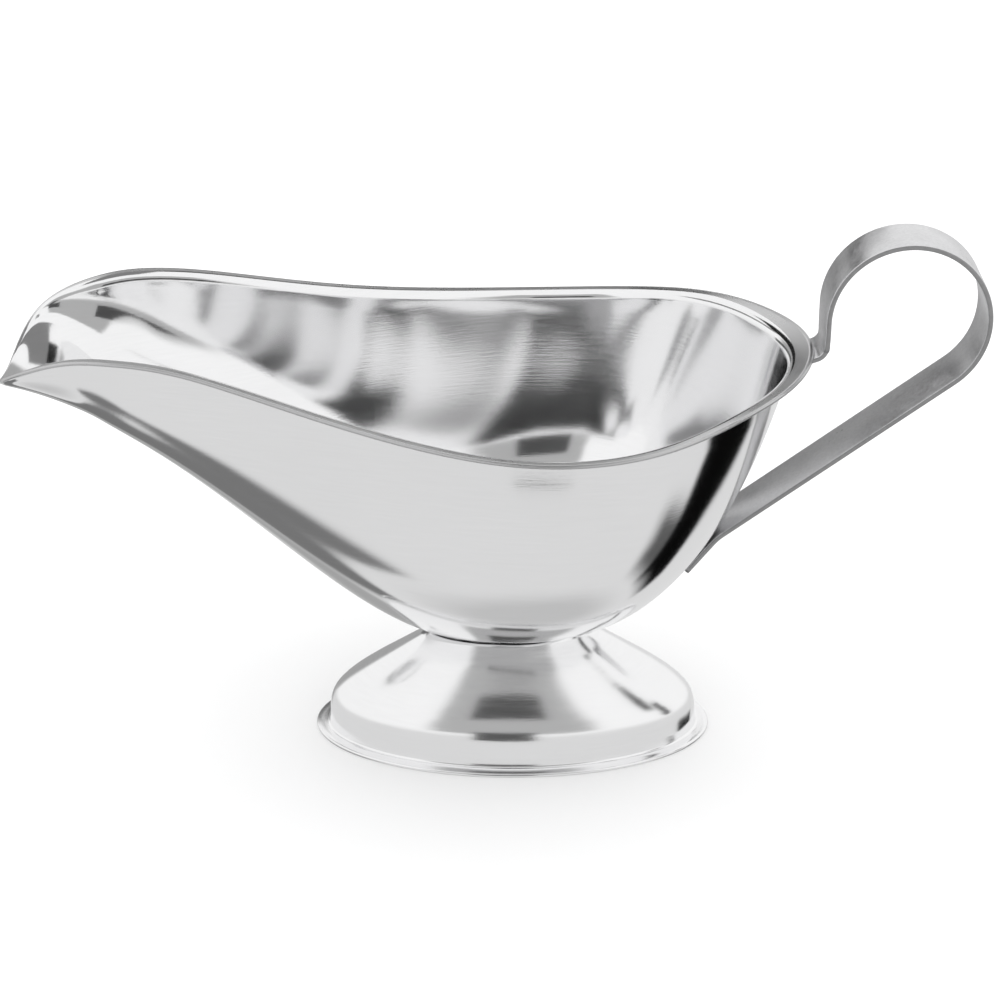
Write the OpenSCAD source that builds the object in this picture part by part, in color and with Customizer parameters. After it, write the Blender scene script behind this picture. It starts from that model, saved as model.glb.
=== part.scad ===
// Footed gravy boat in pressed stainless steel: a bowl with a raised spout, a hollow
// oval foot and a strap handle, joined by small resistance welds.
// +X is the handle end, -X the spout end, Z=0 the table. All sizes in millimetres.

/* [Sheet] */
// Thickness of the bowl's sheet
bowl_sheet = 0.8; // [0.6:0.1:1.0]
// Thickness of the foot's sheet
foot_sheet = 0.9; // [0.7:0.1:1.1]
// Height of the weld nuggets that hold each pair of pieces apart
weld_gap = 0.2; // [0.1:0.05:0.3]

/* [Bowl] */
// Lowest point of the bowl's outside, along X
pole_x = -0.7; // [-2:0.1:1]
// Height of the bowl's lowest point above the table
pole_z = 23.3; // [22.5:0.1:24]
// Width of the turned-out lip along the sides
lip_width = 3; // [2:0.1:4]
// Extra width of the lip at the handle end
rear_lip_extra = 2.1; // [0:0.1:3]
// Rise of the lip, from its root to its edge, along the sides
lip_rise = 0.2; // [0:0.1:0.6]
// Extra rise of the lip at the handle end
rear_lip_extra_rise = 1.7; // [0:0.1:2]
// Width of the lip where it dies out at the spout's end
spout_lip_width = 0.4; // [0.3:0.1:0.8]

/* [Foot] */
// Centre of the foot along X
foot_x = 4.5; // [3:0.5:6]
// Width of the foot's flat rim
foot_rim_width = 3.2; // [2:0.1:4]
// Width of the foot as a share of its length, inside the flat rim
foot_roundness = 0.51; // [0.48:0.01:0.56]

/* [Handle] */
// Width of the strap
strap_width = 14.7; // [12:0.1:16]
// Thickness of the strap
strap_thick = 1.2; // [1:0.1:1.4]
// Radius of the finger loop, to the middle of the strap
loop_radius = 18; // [17:0.25:18.25]
// Width of the strap at its upper end, where its corners are trimmed
upper_end_width = 12; // [9:0.5:13]
// Length of the tab that lies on the bowl's wall
lower_tab = 11; // [9:0.5:12]

/* [Welds] */
// Radius of each weld nugget
weld_r = 1.6; // [1:0.1:2]

/* [Hidden] */

around = 80;          // steps round the bowl and the foot
wall_rows = 16;       // steps from the bowl's keel to the root of its lip
foot_rows = 26;       // steps up the foot's profile
seat_rows = 7;        // rows of the bowl's wall that reach past the foot's neck
tab_rows = 13;        // rows of the bowl's wall that reach past the handle's lower tab
apex = [0, 0, 200];   // top of the solid that stands for everything inside the bowl

// Control points of the rim's smooth closed curve, from the spout's end to the
// handle end: distance along X, half width and height. The other side mirrors them.
RIM = [
    [-111.5,  0.0,  89.5], [-110.0, 24.0,  99.5], [-93.5, 26.5, 106.0], [-83.0, 29.5, 106.5],
    [ -67.5, 30.5, 105.5], [ -35.0, 40.0,  97.0], [  3.5, 53.5,  92.0], [ 34.5, 51.5,  93.5],
    [  53.5, 39.0,  97.5], [  68.5, 21.5,  98.5], [ 75.0,  0.0,  99.5]
];
half_turns = len(RIM) - 1;
full_turns = 2 * half_turns;

// The keel is the bowl's lowest line, from its lowest point out to the spout's end. The
// wall's ribs leave it at even steps, and fan out from one point at each end of it.
KEEL_RISE = [29.9, 65.1, 61.4, 100.4];
fan_x = -84;          // where the ribs round the spout's end leave the keel
first_rib = 1;        // steps of the rim's curve, from the spout's end, that share fan_x
last_rib = 7;         // the step from which all ribs share the lowest point

// Ribs from the keel out to the lip, as shares of the way out and up
SPOUT_WALL = [[0, 0], [0.455, 0], [0.75, 0.154], [0.971, 0.475], [1, 1]];
SIDE_WALL = [[0, 0], [0.162, 0], [0.736, 0.36], [0.992, 0.215], [1, 1]];
REAR_WALL = [[0, 0], [0.27, 0], [0.55, 0.16], [0.807, 0.266], [1, 1]];
spout_fade = [1.7, 4.9];     // steps over which the spout's rib gives way to the side's
rear_fade = [5.6, 9.75];     // steps over which the side's rib gives way to the rear's

// Control points of the foot's profile, from its upright band over the shoulder and up
// to its neck: half length and height
band_base = 44.6;
FOOT_PROFILE = [
    [44.6, 0.4], [44.5, 2.8], [44.4, 5], [44.2, 6.9], [43.5, 9.1], [41.6, 11.2],
    [39.2, 13.3], [36, 15.6], [33.2, 17.5], [30.2, 19.4], [26.5, 21.8], [23, 24],
    [20.2, 25.7], [18, 27.4], [17.2, 29.8], [17.2, 32.4], [17.2, 35]
];

// Middle line of the strap, seen from the side
loop_centre = [93.25, 107.7];
strut_angle = 37.3;   // slope of the long straight strut
strut_length = 65.4;
tab_angle = 52;       // slope of the lower tab, along the bowl's wall
drop_z = 101.3;       // where the loop's straight side ends above the lip
upper_bend = 3;
upper_turn = 70;      // how far the strap turns in under the lip
upper_tab = 5;
trim_top = 106;       // where the strap starts to narrow

// Places of the weld nuggets
foot_weld_x = [-7, 3, 13];
handle_weld_y = 3.6;
weld_reach = 0.9;     // longest nugget, before it is trimmed to the gap

function unit(v) = v / norm(v);
function ramp(x, low, high) = let (t = min(1, max(0, (x - low) / (high - low)))) t * t * (3 - 2 * t);
function ease(x, range) = let (t = min(1, max(0, (x - range[0]) / (range[1] - range[0]))))
    t * t * t * (6 * t * t - 15 * t + 10);
function flip_y(p) = [p.x, -p.y, p.z];
function choose(n, k) = k == 0 ? 1 : choose(n, k - 1) * (n - k + 1) / k;
function add_up(list, i = 0) = i == len(list) - 1 ? list[i] : list[i] + add_up(list, i + 1);
function bezier(points, t) = let (n = len(points) - 1)
    add_up([for (k = [0:n]) choose(n, k) * pow(1 - t, n - k) * pow(t, k) * points[k]]);

// ---- rim ----
function rim_control(k) = let (m = (k + full_turns) % full_turns)
    m <= half_turns ? RIM[m] : flip_y(RIM[full_turns - m]);
function spline(a, b, c, d, f) = (pow(1 - f, 3) * a + (3 * f * f * f - 6 * f * f + 4) * b
    + (-3 * f * f * f + 3 * f * f + 3 * f + 1) * c + pow(f, 3) * d) / 6;
function rim_at(s) = let (i = floor(s))
    spline(rim_control(i - 1), rim_control(i), rim_control(i + 1), rim_control(i + 2), s - i);
function rim_run(s) = let (i = floor(s), f = s - i)
    (-pow(1 - f, 2) * rim_control(i - 1) + (3 * f * f - 4 * f) * rim_control(i)
    + (-3 * f * f + 2 * f + 1) * rim_control(i + 1) + f * f * rim_control(i + 2)) / 2;
function outward(s) = let (r = rim_run(s)) unit([-r.y, r.x]);
function from_tip(s) = min(s, full_turns - s);
function lip_out(s) = let (d = from_tip(s)) spout_lip_width
    + (lip_width - spout_lip_width) * ramp(d, 0.9, 2.2) + rear_lip_extra * ramp(d, 7.5, 10);
function lip_up(s) = let (d = from_tip(s))
    lip_rise * ramp(d, 0.9, 2.2) + rear_lip_extra_rise * ramp(d, 7.5, 10);
function lip_root(s) = let (r = rim_at(s), n = outward(s), w = lip_out(s))
    [r.x - w * n.x, r.y - w * n.y, r.z - lip_up(s)];

// ---- wall ----
spout_end = lip_root(0);
KEEL = concat([pole_z, pole_z], KEEL_RISE, [spout_end.z]);
function keel(x) = bezier(KEEL, max(0, (pole_x - x) / (pole_x - spout_end.x)));
function keel_control(k) = min(pole_x, max(fan_x, rim_control(k).x));
function keel_x(s) = let (i = floor(s))
    spline(keel_control(i - 1), keel_control(i), keel_control(i + 1), keel_control(i + 2), s - i);
function rib_curve(s) = let (
        spout = 1 - ease(from_tip(s), spout_fade),
        rear = ease(from_tip(s), rear_fade)
    ) spout * SPOUT_WALL + rear * REAR_WALL + (1 - spout - rear) * SIDE_WALL;
function wall_point(s, t) = let (
        root = lip_root(s),
        share = bezier(rib_curve(s), t),
        x = keel_x(s) + share.x * (root.x - keel_x(s))
    ) [x, share.x * root.y, keel(x) + share.y * (root.z - keel(root.x))];

// Outside of the bowl as rows from beside the keel to the lip's edge, for each step round
OUTSIDE = [for (i = [0:around - 1]) let (s = i * full_turns / around)
    [for (j = [1:wall_rows]) wall_point(s, j / wall_rows), rim_at(s)]];
first_joint = first_rib * around / full_turns;
last_joint = last_rib * around / full_turns;
KEEL_LINE = [for (k = [first_joint:last_joint]) let (x = keel_x(k * full_turns / around)) [x, 0, keel(x)]];
function keel_step(i) = min(last_joint, max(first_joint, min(i, around - i))) - first_joint;
function outside(i, j) = let (k = (i + around) % around)
    j < 0 ? KEEL_LINE[keel_step(k)] : OUTSIDE[k][min(j, wall_rows)];
function inward(i, j) =
    unit(cross(outside(i + 1, j) - outside(i - 1, j), outside(i, j + 1) - outside(i, j - 1)));
function keel_inward(x) = unit([keel(x - 0.1) - keel(x + 0.1), 0, 0.2]);

// Rows of the outside, then the keel, all moved inwards by some depth
function moved(depth, rows) = concat(
    [for (i = [0:around - 1]) for (j = [0:rows - 1]) outside(i, j) + depth * inward(i, j)],
    [for (p = KEEL_LINE) p + depth * keel_inward(p.x)]);

// Faces of a skin of rows that starts at the keel; base is the index of its first point
function skin(base, rows) = [for (i = [0:around - 1]) let (
        k = (i + 1) % around,
        a = base + around * rows + keel_step(i),
        b = base + around * rows + keel_step(k)
    ) each [
    [b, base + k * rows, base + i * rows],
    if (a != b) [b, base + i * rows, a],
    for (j = [0:rows - 2]) each [
        [base + k * rows + j, base + i * rows + j + 1, base + i * rows + j],
        [base + k * rows + j, base + k * rows + j + 1, base + i * rows + j + 1]
    ]
]];
function turned(faces) = [for (f = faces) [f[2], f[1], f[0]]];

bowl_rows = wall_rows + 1;

// Everything inside the lowest rows of the bowl's outside surface, grown by some distance
module bowl_form(grow, rows) {
    points = concat(moved(-grow, rows), [apex]);
    cap = [for (i = [0:around - 1])
        [((i + 1) % around + 1) * rows - 1, len(points) - 1, (i + 1) * rows - 1]];
    polyhedron(points, concat(skin(0, rows), cap));
}

module bowl() color([0.80, 0.80, 0.81]) {
    outer = moved(0, bowl_rows);
    n = len(outer);
    edge = [for (i = [0:around - 1]) let (
            a = (i + 1) * bowl_rows - 1,
            b = ((i + 1) % around + 1) * bowl_rows - 1
        ) each [[b, n + a, a], [b, n + b, n + a]]];
    polyhedron(concat(outer, moved(bowl_sheet, bowl_rows)),
        concat(skin(0, bowl_rows), turned(skin(n, bowl_rows)), edge));
}

// ---- foot ----
function foot_at(s) = let (i = min(floor(s), len(FOOT_PROFILE) - 3)) spline(
    FOOT_PROFILE[i - 1], FOOT_PROFILE[i], FOOT_PROFILE[i + 1], FOOT_PROFILE[i + 2], s - i);
FOOT_LINE = concat([[band_base, 0]],
    [for (j = [0:foot_rows]) foot_at(1 + j * (len(FOOT_PROFILE) - 3) / foot_rows)]);
function line_side(k) = let (
        a = FOOT_LINE[max(0, k - 1)],
        b = FOOT_LINE[min(len(FOOT_LINE) - 1, k + 1)],
        d = unit(b - a)
    ) [d.y, -d.x];
function oval(a, b, z) = [for (i = [0:around - 1])
    [foot_x + a * cos(i * 360 / around), b * sin(i * 360 / around), z]];

// Solid of the foot's dome, shrunk inwards by some distance
module foot_form(shrink = 0) {
    rows = len(FOOT_LINE);
    points = [for (k = [0:rows - 1]) let (p = FOOT_LINE[k], n = line_side(k)) each oval(
        p.x - shrink * n.x,
        foot_roundness * p.x - shrink * n.x,
        k == 0 ? -shrink : p.y - shrink * n.y)];
    sides = [for (k = [0:rows - 2]) for (i = [0:around - 1]) let (
            a = k * around + i,
            b = k * around + (i + 1) % around
        ) each [[a, a + around, b], [b, a + around, b + around]]];
    bottom = [for (i = [0:around - 1]) i];
    top = [for (i = [around - 1:-1:0]) (rows - 1) * around + i];
    polyhedron(points, concat([bottom], sides, [top]));
}

module foot() color([0.78, 0.78, 0.79]) difference() {
    union() {
        foot_form();
        linear_extrude(foot_sheet) polygon([for (p = oval(band_base + foot_rim_width,
            foot_roundness * band_base + foot_rim_width, 0)) [p.x, p.y]]);
    }
    bowl_form(weld_gap, seat_rows);
    difference() {
        foot_form(foot_sheet);
        bowl_form(weld_gap + foot_sheet, seat_rows);
    }
}

// ---- handle ----
loop_end = strut_angle - 90;
strut_top = loop_centre + loop_radius * [cos(loop_end), sin(loop_end)];
strut_foot = strut_top - strut_length * [cos(strut_angle), sin(strut_angle)];
bend_centre = [loop_centre.x - loop_radius - upper_bend, drop_z];
tab_start = bend_centre + upper_bend * [cos(-upper_turn), sin(-upper_turn)];
upper_heading = 270 - upper_turn;

module strip(from, heading, length) translate(from) rotate(heading)
    translate([0, -strap_thick / 2]) square([length, strap_thick]);
module arc(centre, radius, first, last) translate(centre) intersection() {
    difference() {
        circle(radius + strap_thick / 2, $fn = 96);
        circle(radius - strap_thick / 2, $fn = 96);
    }
    polygon([[0, 0], for (k = [0:6]) 2 * radius * [
        cos(first + k * (last - first) / 6), sin(first + k * (last - first) / 6)]]);
}
module strap_outline() {
    overlap = 0.02;
    strip(strut_foot + overlap * [cos(tab_angle), sin(tab_angle)], tab_angle + 180, lower_tab);
    translate(strut_foot) circle(strap_thick / 2, $fn = 24);
    strip(strut_foot, strut_angle, strut_length + overlap);
    arc(loop_centre, loop_radius, loop_end, 180);
    strip([loop_centre.x - loop_radius, drop_z - overlap], 90, loop_centre.y - drop_z + 2 * overlap);
    arc(bend_centre, upper_bend, -upper_turn, 0);
    strip(tab_start - overlap * [cos(upper_heading), sin(upper_heading)], upper_heading, upper_tab);
}

// Corners trimmed off the strap where it narrows towards its upper end
module trimmed_corner() translate([tab_start.x - 10, 0, 0]) rotate([90, 0, 90])
    linear_extrude(14) polygon([
        [upper_end_width / 2, drop_z - 6], [strap_width, drop_z - 6],
        [strap_width, trim_top], [strap_width / 2, trim_top], [upper_end_width / 2, drop_z]]);

module handle() color([0.66, 0.66, 0.67]) difference() {
    rotate([90, 0, 0]) linear_extrude(strap_width, center = true) strap_outline();
    for (side = [0, 1]) mirror([0, side, 0]) trimmed_corner();
}

// ---- welds ----
// A nugget that fills the gap between a flat tab and the outside of the bowl
module tab_weld(at, slope, y) translate([at.x, y, at.y]) rotate([0, -slope, 0])
    translate([0, 0, strap_thick / 2]) cylinder(h = weld_reach, r = weld_r, $fn = 24);

module foot_spot_welds() color([0.55, 0.55, 0.56]) intersection() {
    for (x = foot_weld_x) translate([x, 0, pole_z - 3]) cylinder(h = 12, r = weld_r, $fn = 24);
    difference() {
        bowl_form(weld_gap, seat_rows);
        bowl_form(0, seat_rows);
    }
}

module upper_handle_welds() color([0.55, 0.55, 0.56]) difference() {
    weld_at = tab_start + 2.4 * [cos(upper_heading), sin(upper_heading)];
    for (side = [-1, 1]) tab_weld(weld_at, upper_heading - 180, side * handle_weld_y);
    bowl_form(0, bowl_rows);
}

module lower_handle_welds() color([0.55, 0.55, 0.56]) difference() {
    weld_at = strut_foot - 5 * [cos(tab_angle), sin(tab_angle)];
    for (side = [-1, 1]) tab_weld(weld_at, tab_angle, side * handle_weld_y);
    bowl_form(0, tab_rows);
}

bowl();
foot();
handle();
foot_spot_welds();
upper_handle_welds();
lower_handle_welds();
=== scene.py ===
"""Looks for the stainless-steel gravy boat: its sheet-metal pieces again as fine smooth meshes,
with polished and brushed steel materials, on a pale floor in a white studio.

+X is the handle end, -X the spout end and Z = 0 the floor. Shapes are in millimetres until
they become meshes; the camera is in metres."""

import math

import bmesh
import bpy
import numpy as np
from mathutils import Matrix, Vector
from mathutils.bvhtree import BVHTree


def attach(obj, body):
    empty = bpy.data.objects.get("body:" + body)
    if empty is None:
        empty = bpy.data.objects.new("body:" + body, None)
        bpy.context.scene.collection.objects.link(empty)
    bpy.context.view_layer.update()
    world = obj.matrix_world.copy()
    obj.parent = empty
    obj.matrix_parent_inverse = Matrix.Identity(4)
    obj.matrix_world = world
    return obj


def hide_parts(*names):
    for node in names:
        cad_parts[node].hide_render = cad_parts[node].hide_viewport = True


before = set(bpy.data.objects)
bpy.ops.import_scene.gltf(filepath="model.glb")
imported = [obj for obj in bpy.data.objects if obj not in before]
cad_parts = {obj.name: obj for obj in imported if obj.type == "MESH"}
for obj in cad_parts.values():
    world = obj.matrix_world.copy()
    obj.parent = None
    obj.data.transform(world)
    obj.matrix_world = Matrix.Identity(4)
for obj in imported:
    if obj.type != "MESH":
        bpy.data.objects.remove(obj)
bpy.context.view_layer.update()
MM = 0.001

# ---------------------------------------------------------------- shapes, in millimetres
SHEET = 0.8
POLE_X, POLE_Z, FAN_X = -0.7, 23.3, -84.0   # lowest point, and where the spout's ribs leave the keel
RIM = np.array([
    (-111.5, 0.0, 89.5), (-110.0, 24.0, 99.5), (-93.5, 26.5, 106.0), (-83.0, 29.5, 106.5),
    (-67.5, 30.5, 105.5), (-35.0, 40.0, 97.0), (3.5, 53.5, 92.0), (34.5, 51.5, 93.5),
    (53.5, 39.0, 97.5), (68.5, 21.5, 98.5), (75.0, 0.0, 99.5)])
FULL = 2 * (len(RIM) - 1)   # steps round the whole rim
RING = np.concatenate([RIM, RIM[-2:0:-1] * (1, -1, 1)])
KEEL_RISE = (29.9, 65.1, 61.4, 100.4)
SPOUT_RIB = np.array([(0, 0), (0.455, 0), (0.75, 0.154), (0.971, 0.475), (1, 1)])
SIDE_RIB = np.array([(0, 0), (0.162, 0), (0.736, 0.36), (0.992, 0.215), (1, 1)])
REAR_RIB = np.array([(0, 0), (0.27, 0), (0.55, 0.16), (0.807, 0.266), (1, 1)])
LIP_BEND, LIP_BEND_SHARE = 1.3, 0.45         # bend radius, and the most of the lip's width it takes


def spline(control, s):
    """A closed uniform cubic B-spline at s."""
    i = np.floor(s).astype(int)
    f = (s - i)[:, None]
    p = [control[(i + k) % len(control)] for k in (-1, 0, 1, 2)]
    return ((1 - f) ** 3 * p[0] + (3 * f ** 3 - 6 * f * f + 4) * p[1]
            + (-3 * f ** 3 + 3 * f * f + 3 * f + 1) * p[2] + f ** 3 * p[3]) / 6


def smooth(x, a, b):
    """0 up to a and 1 from b, with a soft start and end between them."""
    t = np.clip((x - a) / (b - a), 0, 1)
    return t * t * (3 - 2 * t)


def ease(x, a, b):
    """As smooth, with no curvature at either end."""
    t = np.clip((x - a) / (b - a), 0, 1)
    return t ** 3 * (6 * t * t - 15 * t + 10)


def unit(v):
    return v / np.maximum(np.linalg.norm(v, axis=-1, keepdims=True), 1e-12)


def lip_root(s):
    """Where the wall would meet the lip, for each step s round the rim."""
    d = np.minimum(s, FULL - s)
    side, rear = smooth(d, 0.9, 2.2), smooth(d, 7.5, 10)
    step = 1e-3
    run = spline(RING, s + step) - spline(RING, s - step)
    out = unit(np.stack([-run[:, 1], run[:, 0]], -1))
    width = 0.4 + 2.6 * side + 2.1 * rear
    rise = 0.2 * side + 1.7 * rear
    root = spline(RING, s).copy()
    root[:, :2] -= width[:, None] * out
    root[:, 2] -= rise
    return root


SPOUT_END = lip_root(np.array([0.0]))[0]


def keel(x):
    """Height of the bowl's lowest line at x."""
    u = np.maximum(0, (POLE_X - x) / (POLE_X - SPOUT_END[0]))
    rise = (POLE_Z, POLE_Z, *KEEL_RISE, SPOUT_END[2])
    return sum(math.comb(6, k) * (1 - u) ** (6 - k) * u ** k * rise[k] for k in range(7))


KEEL_X = np.clip(RING[:, :1], FAN_X, POLE_X)


def wall(s, t):
    """The bowl's outside: a rib from the keel to the root of the lip, for each s."""
    d = np.minimum(s, FULL - s)
    spout, rear = 1 - ease(d, 1.7, 4.9), ease(d, 5.6, 9.75)
    rib = (spout[:, None, None] * SPOUT_RIB + rear[:, None, None] * REAR_RIB
           + (1 - spout - rear)[:, None, None] * SIDE_RIB)
    t = t[None, :, None]
    share = sum(math.comb(4, k) * (1 - t) ** (4 - k) * t ** k * rib[:, k][:, None] for k in range(5))
    root = lip_root(s)
    x0 = spline(KEEL_X, s)
    x = x0 + share[:, :, 0] * (root[:, :1] - x0)
    z = keel(x) + share[:, :, 1] * (root[:, 2:] - keel(root[:, :1]))
    return np.stack([x, share[:, :, 0] * root[:, 1:2], z], -1)


def new_piece(name, points, faces, materials, nodes):
    """A smooth mesh in the shared frame that stands for one or more CAD nodes."""
    mesh = bpy.data.meshes.new(name)
    mesh.from_pydata((np.asarray(points) * MM).tolist(), [], faces)
    mesh.validate()
    mesh.update()
    mesh.polygons.foreach_set("use_smooth", [True] * len(mesh.polygons))
    for material in materials:
        mesh.materials.append(material)
    piece = bpy.data.objects.new(name, mesh)
    bpy.context.scene.collection.objects.link(piece)
    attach(piece, "root")
    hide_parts(*nodes)
    return piece


def grid_faces(rings, rows):
    """Quads of a closed grid stored ring by ring."""
    faces = []
    for i in range(rings):
        a, b = i * rows, (i + 1) % rings * rows
        faces += [(a + j + 1, b + j + 1, b + j, a + j) for j in range(rows - 1)]
    return faces


def row_faces(rows, around, first=0, turned=False):
    """Quads of a tube stored row by row, each row going once round."""
    faces = []
    for k in range(rows - 1):
        low, high = first + k * around, first + (k + 1) * around
        for i in range(around):
            j = (i + 1) % around
            a, b = (j, i) if turned else (i, j)
            faces.append((low + a, low + b, high + b, high + a))
    return faces


def bowl_grid(around, rows):
    """The bowl's outer skin ring by ring, with a small radius where the lip turns out, and the
    direction into the sheet at each point."""
    s = np.arange(around) * FULL / around
    side = wall(s, np.linspace(0, 1, rows + 1))
    root, edge = side[:, -1], spline(RING, s)
    lip = edge - root
    width = np.linalg.norm(lip, axis=1)
    bend = np.minimum(LIP_BEND, LIP_BEND_SHARE * width)[:, None]
    # the last part of the wall is trimmed back by the bend radius
    back = side[:, ::-1]
    gap = np.linalg.norm(np.diff(back, axis=1), axis=2)
    run = np.concatenate([np.zeros((around, 1)), np.cumsum(gap, 1)], 1)
    start = np.empty((around, 3))
    kept = np.empty_like(side)
    for i in range(around):
        length = run[i, -1]
        along = length - run[i][::-1]
        target = along * (1 - bend[i, 0] / length)
        for c in range(3):
            kept[i, :, c] = np.interp(target, along, side[i, :, c])
        start[i] = kept[i, -1]
    finish = root + unit(lip) * bend
    t = np.linspace(0, 1, 9)[None, 1:, None]
    turn = (1 - t) ** 2 * start[:, None] + 2 * t * (1 - t) * root[:, None] + t * t * finish[:, None]
    t = np.linspace(0, 1, 5)[None, 1:, None]
    flat = finish[:, None] + t * (edge - finish)[:, None]
    outer = np.concatenate([kept, turn, flat], 1)
    around_run = np.roll(outer, -1, 0) - np.roll(outer, 1, 0)
    up_run = np.empty_like(outer)
    up_run[:, 1:-1] = outer[:, 2:] - outer[:, :-2]
    up_run[:, 0] = outer[:, 1] - outer[:, 0]
    up_run[:, -1] = outer[:, -1] - outer[:, -2]
    inward = unit(np.cross(around_run, up_run))
    # on the keel both sides share the keel line's own normal
    x, step = kept[:, 0, 0], 0.05
    inward[:, 0] = unit(np.stack([keel(x - step) - keel(x + step), 0 * x, 0 * x + 2 * step], -1))
    return outer, inward


AROUND = 320
PER_STEP = AROUND // FULL
KEEL_STEPS = range(PER_STEP, 7 * PER_STEP + 1)   # from rib 1 to rib 7; the rest share its end points
outer, inward = bowl_grid(AROUND, 56)
rows = outer.shape[1]
inner = outer + SHEET * inward
middle = (outer[:, -1] + inner[:, -1]) / 2
reach = unit(outer[:, -1] - outer[:, -2]) * SHEET / 2
across = (inner[:, -1] - outer[:, -1]) / 2
angles = np.linspace(-np.pi / 2, np.pi / 2, 9)[1:-1]
nose = middle[:, None] - reach[:, None] * 0.6 + (np.cos(angles)[None, :, None] * reach[:, None] * 0.6
                                                + np.sin(angles)[None, :, None] * across[:, None])
rings = np.concatenate([outer[:, 1:], nose, inner[:, :0:-1]], 1)
per = rings.shape[1]


def keel_index(i):
    """Which point of the keel the rib at step i leaves from."""
    return min(KEEL_STEPS[-1], max(KEEL_STEPS[0], min(i, AROUND - i))) - KEEL_STEPS[0]


ridge_outer = [outer[k, 0] for k in KEEL_STEPS]
ridge_inner = [inner[k, 0] for k in KEEL_STEPS]
bowl_points = np.concatenate([rings.reshape(-1, 3), ridge_outer, ridge_inner])
faces = grid_faces(AROUND, per)
base_outer = AROUND * per
base_inner = base_outer + len(ridge_outer)
for i in range(AROUND):
    k = (i + 1) % AROUND
    a, b = keel_index(i), keel_index(k)
    ao, bo = base_outer + a, base_outer + b
    first_a, first_b = i * per, k * per
    faces.append((ao, first_a, first_b) if a == b else (ao, first_a, first_b, bo))
    ai, bi = base_inner + a, base_inner + b
    last_a, last_b = i * per + per - 1, k * per + per - 1
    faces.append((ai, last_b, last_a) if a == b else (ai, bi, last_b, last_a))


# ---------------------------------------------------------------- materials
class Nodes:
    """A metal material fed by noises in the object's own space."""

    def __init__(self, name):
        self.material = bpy.data.materials.new(name)
        self.material.use_nodes = True
        self.tree = self.material.node_tree
        self.shader = self.tree.nodes["Principled BSDF"]
        self.position = self.add("ShaderNodeNewGeometry").outputs["Position"]

    def add(self, kind, inputs=None, **settings):
        node = self.tree.nodes.new(kind)
        for key, value in settings.items():
            setattr(node, key, value)
        for key, value in (inputs or {}).items():
            if isinstance(value, bpy.types.NodeSocket):
                self.tree.links.new(value, node.inputs[key])
            else:
                node.inputs[key].default_value = value
        return node

    def scaled(self, x, y, z):
        node = self.add("ShaderNodeVectorMath", {0: self.position, 1: (x, y, z)}, operation="MULTIPLY")
        return node.outputs["Vector"]

    def noise(self, vector, scale, detail=3.0, roughness=0.5):
        node = self.add("ShaderNodeTexNoise", {"Vector": vector, "Scale": scale, "Detail": detail,
                                               "Roughness": roughness})
        return node.outputs["Fac"]

    def remap(self, value, a, b, low, high):
        node = self.add("ShaderNodeMapRange", {"Value": value, "From Min": a, "From Max": b,
                                               "To Min": low, "To Max": high})
        return node.outputs["Result"]

    def mix(self, a, b, share):
        node = self.add("ShaderNodeMath", {0: a, 1: share}, operation="MULTIPLY")
        other = self.add("ShaderNodeMath", {0: b, 1: 1 - share}, operation="MULTIPLY")
        return self.add("ShaderNodeMath", {0: node.outputs[0], 1: other.outputs[0]},
                        operation="ADD").outputs[0]

    def finish(self, colour, rough, height, strength, distance):
        self.shader.inputs["Metallic"].default_value = 1.0
        self.tree.links.new(colour, self.shader.inputs["Base Color"])
        self.tree.links.new(rough, self.shader.inputs["Roughness"])
        bump = self.add("ShaderNodeBump", {"Height": height, "Strength": strength, "Distance": distance})
        self.tree.links.new(bump.outputs["Normal"], self.shader.inputs["Normal"])
        return self.material

    def tint(self, value, dark, light):
        ramp = self.add("ShaderNodeValToRGB", {"Fac": value})
        ramp.color_ramp.elements[0].color = (*dark, 1)
        ramp.color_ramp.elements[1].color = (*light, 1)
        return ramp.outputs["Color"]


def polished(name, low, high, line_strength, lines, shade=1.0):
    """Polished steel with fine lines left by the polishing wheel and a faint mottle."""
    m = Nodes(name)
    line = m.noise(m.scaled(*lines), 1.0, 4.0, 0.6)
    mottle = m.noise(m.scaled(1, 1, 1), 2300.0, 2.0, 0.6)
    cloud = m.noise(m.scaled(1, 1, 1), 28.0, 3.0, 0.55)
    # shade below 1 darkens the whole colour and gives a shaded copy of the steel, which is painted shade
    dark, pale = np.array((0.84, 0.84, 0.845)) * shade, np.array((0.97, 0.97, 0.975)) * shade
    colour = m.tint(m.mix(line, cloud, 0.5), dark, pale)
    rough = m.remap(m.mix(line, cloud, 0.5), 0.3, 0.7, low, high)
    height = m.mix(line, mottle, 0.6)
    return m.finish(colour, rough, height, line_strength, 0.00004)


bowl_steel = polished("bowl_polished_steel", 0.07, 0.13, 0.22, (120, 120, 3000))
foot_steel = polished("foot_polished_steel", 0.09, 0.17, 0.25, (140, 140, 3000))


def brushed(name, lines, low, high, shade=1.0):
    """Satin steel with brush lines, a fine grain and a cloudy tone."""
    m = Nodes(name)
    line = m.noise(m.scaled(*lines), 1.0, 5.0, 0.65)
    grain = m.noise(m.scaled(1, 1, 1), 1300.0, 3.0, 0.65)
    cloud = m.noise(m.scaled(1, 1, 1), 150.0, 4.0, 0.6)
    # shade below 1 darkens the whole colour and gives a shaded copy of the steel, which is painted shade
    dark, pale = np.array((0.46, 0.46, 0.465)) * shade, np.array((0.93, 0.93, 0.94)) * shade
    colour = m.tint(m.mix(grain, cloud, 0.55), dark, pale)
    rough = m.remap(m.mix(grain, cloud, 0.5), 0.3, 0.7, low, high)
    return m.finish(colour, rough, m.mix(line, grain, 0.6), 0.45, 0.00005)


strap_steel = brushed("strap_satin_steel", (300, 2600, 300), 0.26, 0.42)
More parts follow.
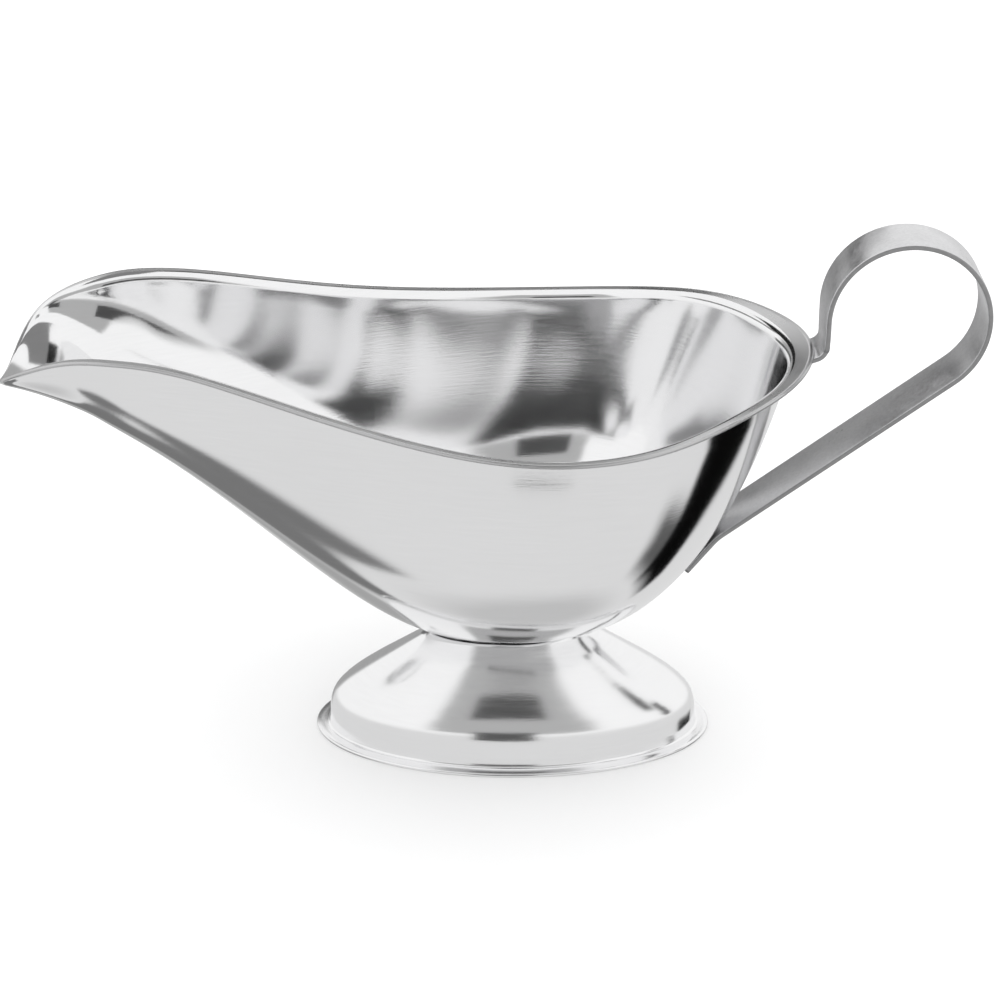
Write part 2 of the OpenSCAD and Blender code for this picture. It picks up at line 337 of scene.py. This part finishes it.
# the strap's narrow sides are the same satin steel at half brightness: painted shade on the strap's edges
edge_shaded_steel = brushed("strap_edge_painted_shade", (300, 900, 300), 0.3, 0.45, 0.5)
weld_steel = brushed("weld_steel", (900, 900, 900), 0.38, 0.55)

# the lip is the bowl's own polished steel with its colour darkened to 0.68: painted shade on the rolled lip
lip_shaded_steel = polished("lip_steel_painted_shade", 0.24, 0.34, 0.2, (90, 90, 900), 0.68)

# ---------------------------------------------------------------- the bowl as a piece
bowl = new_piece("bowl_shell", bowl_points, faces, (bowl_steel, lip_shaded_steel), ["bowl"])
# the faces of the lip's turn, flat and nose take that darker copy: painted shade
lip_start, lip_end = rows - 4, rows + len(angles) + 4
on_lip = [lip_start <= f[0] % per < lip_end and len(f) == 4 and max(f) < AROUND * per for f in faces]
bowl.data.polygons.foreach_set("material_index", [int(v) for v in on_lip])

# ---------------------------------------------------------------- foot
FOOT_X, BAND, RIM_WIDTH, ROUND, FOOT_SHEET, GAP = 4.5, 44.6, 3.2, 0.51, 0.9, 0.2
RIM_NOSE, BAND_FILLET = 0.35, 0.7            # roundings of the rim's edge and of its inner corner
NECK_FROM, NECK_A, NECK_B = 15, 17.2, 8.77   # height it is stretched from, half length, half width
NO_HIT = 60.0                                # height taken where no bowl is overhead
DOME = np.array([
    (44.6, 0.4), (44.5, 2.8), (44.4, 5.0), (44.2, 6.9), (43.5, 9.1), (41.6, 11.2), (39.2, 13.3),
    (36.0, 15.6), (33.2, 17.5), (30.2, 19.4), (26.5, 21.8), (23.0, 24.0), (20.2, 25.7), (18.0, 27.4),
    (17.2, 29.8), (17.2, 32.4), (17.2, 35.0)])
under = BVHTree.FromPolygons([tuple(p) for p in bowl_points], faces)


def bowl_under(x, y):
    """Height of the bowl's outside above a point of the floor."""
    hit = under.ray_cast(Vector((x, y, -5)), Vector((0, 0, 1)))
    return hit[0].z if hit[0] is not None else NO_HIT


STEPS = 240
angle = np.arange(STEPS) * 2 * np.pi / STEPS
cosine, sine = np.cos(angle), np.sin(angle)
dome = spline(DOME, np.linspace(1, len(DOME) - 2.001, 110))


def normals_of(line):
    """The direction square to a line at each of its points."""
    run = unit(np.gradient(line, axis=0))
    return np.stack([run[:, 1], -run[:, 0]], -1)


def foot_ring(a, z, shrink=0.0):
    """A ring of the dome, a long and a little over half as wide."""
    b = ROUND * a
    return np.stack([FOOT_X + (a - shrink) * cosine, (b - shrink) * sine, np.full(STEPS, z)], -1)


def rim_ring(offset, z):
    """A ring of the flat rim, which has the same width all round the band."""
    a, b = BAND + offset, ROUND * BAND + offset
    return np.stack([FOOT_X + a * cosine, b * sine, np.full(STEPS, z)], -1)


# outside, from the rim's edge up the band and the dome to the neck
rings_out = []
for q in np.linspace(-np.pi / 2, np.pi / 2, 9):
    rings_out.append(rim_ring(RIM_WIDTH - RIM_NOSE + RIM_NOSE * math.cos(q),
                              FOOT_SHEET / 2 * (1 + math.sin(q))))
rings_out.append(rim_ring(RIM_WIDTH * 0.55, FOOT_SHEET))
for q in np.linspace(0, np.pi / 2, 7)[:-1]:
    rings_out.append(rim_ring(BAND_FILLET - BAND_FILLET * math.sin(q),
                              FOOT_SHEET + BAND_FILLET - BAND_FILLET * math.cos(q)))
first_dome = len(rings_out)
for a, z in dome:
    rings_out.append(foot_ring(a, z))
rings_out = np.array(rings_out)
top_z = np.array([bowl_under(x, y) for x, y in rings_out[-1, :, :2]]) - GAP
# the neck stops just under the bowl all the way round
for i in range(STEPS):
    z = rings_out[:, i, 2]
    low = np.argmax(z > NECK_FROM)
    span = z[-1] - z[low]
    want = z[low] + (top_z[i] - z[low]) * (z[low:] - z[low]) / span
    for c in (0, 1):
        rings_out[low:, i, c] = np.interp(want, z[low:], rings_out[low:, i, c])
    rings_out[low:, i, 2] = want
# dish under the bowl, then the inside of the shell
dish = []
for q in np.linspace(1, 0, 12)[1:-1]:
    x = FOOT_X + (rings_out[-1, :, 0] - FOOT_X) * q
    y = rings_out[-1, :, 1] * q
    dish.append(np.stack([x, y, [bowl_under(u, v) - GAP for u, v in zip(x, y)]], -1))
dish = np.array(dish)
centre_top = np.array([FOOT_X, 0, bowl_under(FOOT_X, 0) - GAP])
inside = []
side = normals_of(dome)
for k, (a, z) in enumerate(dome):
    inside.append(foot_ring(a, z, FOOT_SHEET) * (1, 1, 0) + (0, 0, 1) * rings_out[first_dome + k])
inside = np.array(inside)
inside[:, :, 2] = np.minimum(inside[:, :, 2] - FOOT_SHEET * side[:, None, 1], top_z[None, :] - FOOT_SHEET)
inside[0, :, 2] = 0.0
under_dish = dish - (0, 0, FOOT_SHEET)
under_dish[:, :, 0] = FOOT_X + (under_dish[:, :, 0] - FOOT_X) * (1 - FOOT_SHEET / NECK_A)
under_dish[:, :, 1] *= 1 - FOOT_SHEET / NECK_B
foot_rows = np.concatenate([rings_out, dish])
in_rows = np.concatenate([inside, under_dish])
n_out, n_in = len(foot_rows), len(in_rows)
foot_points = np.concatenate([foot_rows.reshape(-1, 3), in_rows.reshape(-1, 3),
                              [centre_top, centre_top - (0, 0, FOOT_SHEET)]])
shift_in = n_out * STEPS
foot_faces = row_faces(n_out, STEPS) + row_faces(n_in, STEPS, shift_in, turned=True)
top_i, low_i = len(foot_points) - 2, len(foot_points) - 1
for i in range(STEPS):
    j = (i + 1) % STEPS
    foot_faces.append(((n_out - 1) * STEPS + i, (n_out - 1) * STEPS + j, top_i))
    foot_faces.append((shift_in + (n_in - 1) * STEPS + j, shift_in + (n_in - 1) * STEPS + i, low_i))
    foot_faces.append((j, i, shift_in + i, shift_in + j))
foot = new_piece("foot_shell", foot_points, foot_faces, (foot_steel,), ["foot"])

# ---------------------------------------------------------------- handle
STRAP, THICK, LOOP_R = 14.7, 1.2, 18.0
LOOP = np.array([93.25, 107.7])
SLOPE, STRUT, TAB_SLOPE, TAB = math.radians(37.3), 65.4, math.radians(52), 11.0
DROP_Z, BEND, TURN, UPPER_TAB, UPPER_WIDTH = 101.3, 3.0, math.radians(70), 5.0, 12.0
TRIM_BEFORE, TRIM_RUN, TRIM_POWER = 5.5, 6.5, 2.2   # how the strap narrows to its upper tab
CORNER = 0.38
EDGE_FACES = (7, 8, 9, 10, 11, 17, 18, 19, 0, 1)    # of the 20 round a section, its narrow sides


def direction(a):
    """The unit vector at an angle in the strap's own plane."""
    return np.array([math.cos(a), math.sin(a)])


strut_top = LOOP + LOOP_R * direction(SLOPE - math.pi / 2)
strut_foot = strut_top - STRUT * direction(SLOPE)
tab_end = strut_foot - TAB * direction(TAB_SLOPE)
line = [tab_end + (strut_foot - tab_end) * q for q in np.linspace(0, 0.86, 8)]
bend_a, bend_b = line[-1], strut_foot + direction(SLOPE) * 1.6
for q in np.linspace(0, 1, 8)[1:]:
    line.append((1 - q) ** 2 * bend_a + 2 * q * (1 - q) * strut_foot + q * q * bend_b)
line += [bend_b + (strut_top - bend_b) * q for q in np.linspace(0, 1, 40)[1:]]
line += [LOOP + LOOP_R * direction(q) for q in np.linspace(SLOPE - math.pi / 2, math.pi, 90)[1:]]
line += [np.array([LOOP[0] - LOOP_R, z]) for z in np.linspace(LOOP[1], DROP_Z, 8)[1:]]
bend_centre = np.array([LOOP[0] - LOOP_R - BEND, DROP_Z])
line += [bend_centre + BEND * direction(q) for q in np.linspace(0, -TURN, 14)[1:]]
heading = 1.5 * math.pi - TURN
line += [line[-1] + direction(heading) * UPPER_TAB * q for q in np.linspace(0, 1, 6)[1:]]
line = np.array(line)
run = np.concatenate([[0], np.cumsum(np.linalg.norm(np.diff(line, axis=0), axis=1))])
run_unit = unit(np.gradient(line, run, axis=0))
strap_side = np.stack([-run_unit[:, 1], run_unit[:, 0]], -1)
drop_run = run[-1] - UPPER_TAB - BEND * TURN
half_width = np.full(len(line), STRAP / 2)
narrow = np.clip((run - (drop_run - TRIM_BEFORE)) / TRIM_RUN, 0, 1)
half_width -= (STRAP - UPPER_WIDTH) / 2 * (1 - np.sqrt(np.maximum(0, 1 - narrow ** TRIM_POWER)))


def strap_section(w, h):
    """Rounded rectangle, w half wide and h half thick, going round once."""
    out = []
    for sx, sy, a0 in ((1, 1, 0), (-1, 1, 90), (-1, -1, 180), (1, -1, 270)):
        for a in np.linspace(a0, a0 + 90, 5):
            out.append((sx * (w - CORNER) + CORNER * math.cos(math.radians(a)),
                        sy * (h - CORNER) + CORNER * math.sin(math.radians(a))))
    return np.array(out)


strap_rings = []
count = len(line)
for k in range(count):
    section = strap_section(half_width[k], THICK / 2)
    strap_rings.append(np.stack([line[k, 0] + section[:, 1] * strap_side[k, 0], section[:, 0],
                                 line[k, 1] + section[:, 1] * strap_side[k, 1]], -1))
strap_rings = np.array(strap_rings)
m = strap_rings.shape[1]
strap_points = np.concatenate([strap_rings.reshape(-1, 3),
                               [strap_rings[0].mean(0), strap_rings[-1].mean(0)]])
strap_faces = row_faces(count, m)
for i in range(m):
    j = (i + 1) % m
    strap_faces.append((j, i, count * m))
    strap_faces.append(((count - 1) * m + i, (count - 1) * m + j, count * m + 1))
handle = new_piece("handle_strap", strap_points, strap_faces, (strap_steel, edge_shaded_steel),
                   ["handle"])
# the narrow sides take the half-bright copy of the steel: painted shade
on_edge = [k < (count - 1) * m and k % m in EDGE_FACES for k in range(len(strap_faces))]
handle.data.polygons.foreach_set("material_index", [int(v) for v in on_edge])

for piece in (bowl, foot, handle):
    whole = bmesh.new()
    whole.from_mesh(piece.data)
    bmesh.ops.recalc_face_normals(whole, faces=whole.faces)
    whole.to_mesh(piece.data)
    whole.free()

for name in ("foot_spot_welds", "upper_handle_welds", "lower_handle_welds"):
    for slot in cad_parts[name].material_slots:
        slot.material = weld_steel

# ---------------------------------------------------------------- studio
scene = bpy.context.scene
scene.view_settings.view_transform = "Standard"


floor_mesh = bpy.data.meshes.new("floor")
floor_mesh.from_pydata([(-3, -3, 0), (3, -3, 0), (3, 3, 0), (-3, 3, 0)], [], [(0, 1, 2, 3)])
floor = bpy.data.objects.new("floor", floor_mesh)
scene.collection.objects.link(floor)
floor_material = bpy.data.materials.new("pale_floor")
floor_material.use_nodes = True
floor_shader = floor_material.node_tree.nodes["Principled BSDF"]
floor_shader.inputs["Base Color"].default_value = (0.93, 0.93, 0.93, 1)
floor_shader.inputs["Roughness"].default_value = 0.9
floor_mesh.materials.append(floor_material)
floor.visible_glossy = False


def studio_card(name, corners, glow):
    """A card or bar of the studio that only reflections show, from its corners in millimetres."""
    mesh = bpy.data.meshes.new(name)
    mesh.from_pydata([tuple(MM * v for v in corner) for corner in corners], [], [range(len(corners))])
    card = bpy.data.objects.new(name, mesh)
    scene.collection.objects.link(card)
    material = bpy.data.materials.new(name + "_cloth")
    material.use_nodes = True
    shader = material.node_tree.nodes["Principled BSDF"]
    shader.inputs["Base Color"].default_value = (0, 0, 0, 1)
    shader.inputs["Specular IOR Level"].default_value = 0.0
    shader.inputs["Emission Color"].default_value = (1, 1, 1, 1)
    shader.inputs["Emission Strength"].default_value = glow
    mesh.materials.append(material)
    card.visible_camera = card.visible_diffuse = card.visible_shadow = False


def upright(x, z, y):
    """Corners of an upright rectangle that faces the object from y."""
    return [(x[0], y, z[0]), (x[1], y, z[0]), (x[1], y, z[1]), (x[0], y, z[1])]


studio_card("rear_bar", [(-115, 200, 215), (30, 200, 130), (92, 200, 150), (80, 200, 186), (25, 200, 186),
                         (-5, 200, 210), (-95, 200, 294)], 0.012)
studio_card("low_bar", upright((-130, 15), (70, 124), 200), 0.12)
studio_card("front_card", upright((-86, 76), (186, 303), -300), 0.07)
studio_card("front_edge", upright((-66, 44), (-50, 72), -300), 0.09)
studio_card("top_card", [(-150, 35, 200), (-84, 35, 200), (-92, 215, 200), (-150, 215, 200)], 0.22)

# The studio round the object, by direction: white cloths with a few darker things between them.
# It is seen in reflections only; the floor is lit by an even white and has a white backdrop.
world = bpy.data.worlds.new("white_studio")
scene.world = world
world.use_nodes = True
tree = world.node_tree


def world_node(kind, inputs=None, **settings):
    node = tree.nodes.new(kind)
    for key, value in settings.items():
        setattr(node, key, value)
    for key, value in (inputs or {}).items():
        if isinstance(value, bpy.types.NodeSocket):
            tree.links.new(value, node.inputs[key])
        else:
            node.inputs[key].default_value = value
    return node


def math_node(operation, a, b=0.0):
    return world_node("ShaderNodeMath", {0: a, 1: b}, operation=operation).outputs[0]


toward = world_node("ShaderNodeTexCoord").outputs["Generated"]
ripple = world_node("ShaderNodeTexNoise", {"Vector": toward, "Scale": 3.5, "Detail": 3.0})
wobble = math_node("SUBTRACT", ripple.outputs["Fac"], 0.5)
parts = world_node("ShaderNodeSeparateXYZ", {0: toward})
turn = math_node("MULTIPLY", math_node("ARCTAN2", parts.outputs["X"],
                                       math_node("MULTIPLY", parts.outputs["Y"], -1.0)), 180 / math.pi)
lift = math_node("MULTIPLY", math_node("ARCSINE", parts.outputs["Z"]), 180 / math.pi)
turn = math_node("ADD", turn, math_node("MULTIPLY", wobble, 12.0))
lift = math_node("ADD", lift, math_node("MULTIPLY", wobble, -4.0))


def soft_step(value, a, b):
    node = world_node("ShaderNodeMapRange", {"Value": value, "From Min": a, "From Max": b},
                      interpolation_type="SMOOTHSTEP")
    return node.outputs["Result"]


def window(turns, lifts):
    """1 inside a range of directions, falling to 0: each range is (out, in, in, out) in degrees."""
    sides = [soft_step(turn, turns[0], turns[1]), soft_step(turn, turns[3], turns[2]),
             soft_step(lift, lifts[0], lifts[1]), soft_step(lift, lifts[3], lifts[2])]
    area = sides[0]
    for side in sides[1:]:
        area = math_node("MULTIPLY", area, side)
    return area


WHITE, FLOOR_LIGHT = 0.98, 1.35
ALL_ROUND = (-400, -390, 390, 400)
# Brightness inside each window of directions, in turn: 0 faces the camera's side, 90 the handle's
# and -90 the spout's; the second range is the height above the horizon.
AREAS = (
    (0.75, ALL_ROUND, (-130, -120, -8, 8)),
    (0.56, ALL_ROUND, (-130, -120, -80, -62)),
    (0.19, (-160, -148, -72, -60), (-61, -58.5, -42, -34)),
    (0.38, (-400, -390, -160, -148), (-50, -44, -36, -28)),
    (0.11, (66, 82, 96, 106), (-62, -51, -44, -38)),
    (0.003, (91, 97, 125, 131), (-62, -53, -28, -20)),
    (0.45, (-34, -26, 22, 34), (5, 10, 54, 58)),
    (0.38, (-190, -178, -148, -136), (-28, -20, 14, 20)),
    (0.03, (62, 66, 70, 74), (24, 32, 44, 50)),
    (0.06, (72, 76, 80, 84), (2, 6, 30, 36)))
light = WHITE
for level, turns, lifts in AREAS:
    inside_area = window(turns, lifts)
    light = world_node("ShaderNodeMix", {"Factor": inside_area, "A": light, "B": level}).outputs["Result"]
path = world_node("ShaderNodeLightPath")
plain = world_node("ShaderNodeMix", {"Factor": path.outputs["Is Glossy Ray"], "A": FLOOR_LIGHT, "B": light})
background = tree.nodes["Background"]
tree.links.new(plain.outputs["Result"], background.inputs["Strength"])
background.inputs["Color"].default_value = (1, 1, 1, 1)

# ---------------------------------------------------------------- camera
LOOKS_DOWN = 26   # degrees
camera_data = bpy.data.cameras.new("camera")
camera = bpy.data.objects.new("camera", camera_data)
scene.collection.objects.link(camera)
scene.camera = camera
camera_data.lens = 88.37
camera_data.sensor_width = 36
camera_data.shift_x, camera_data.shift_y = -0.01239, -0.00369
camera.location = (0.006698, -0.516705, 0.313249)
camera.rotation_euler = (math.radians(90 - LOOKS_DOWN), 0, math.radians(0.2438))
camera_data.clip_start = 0.01
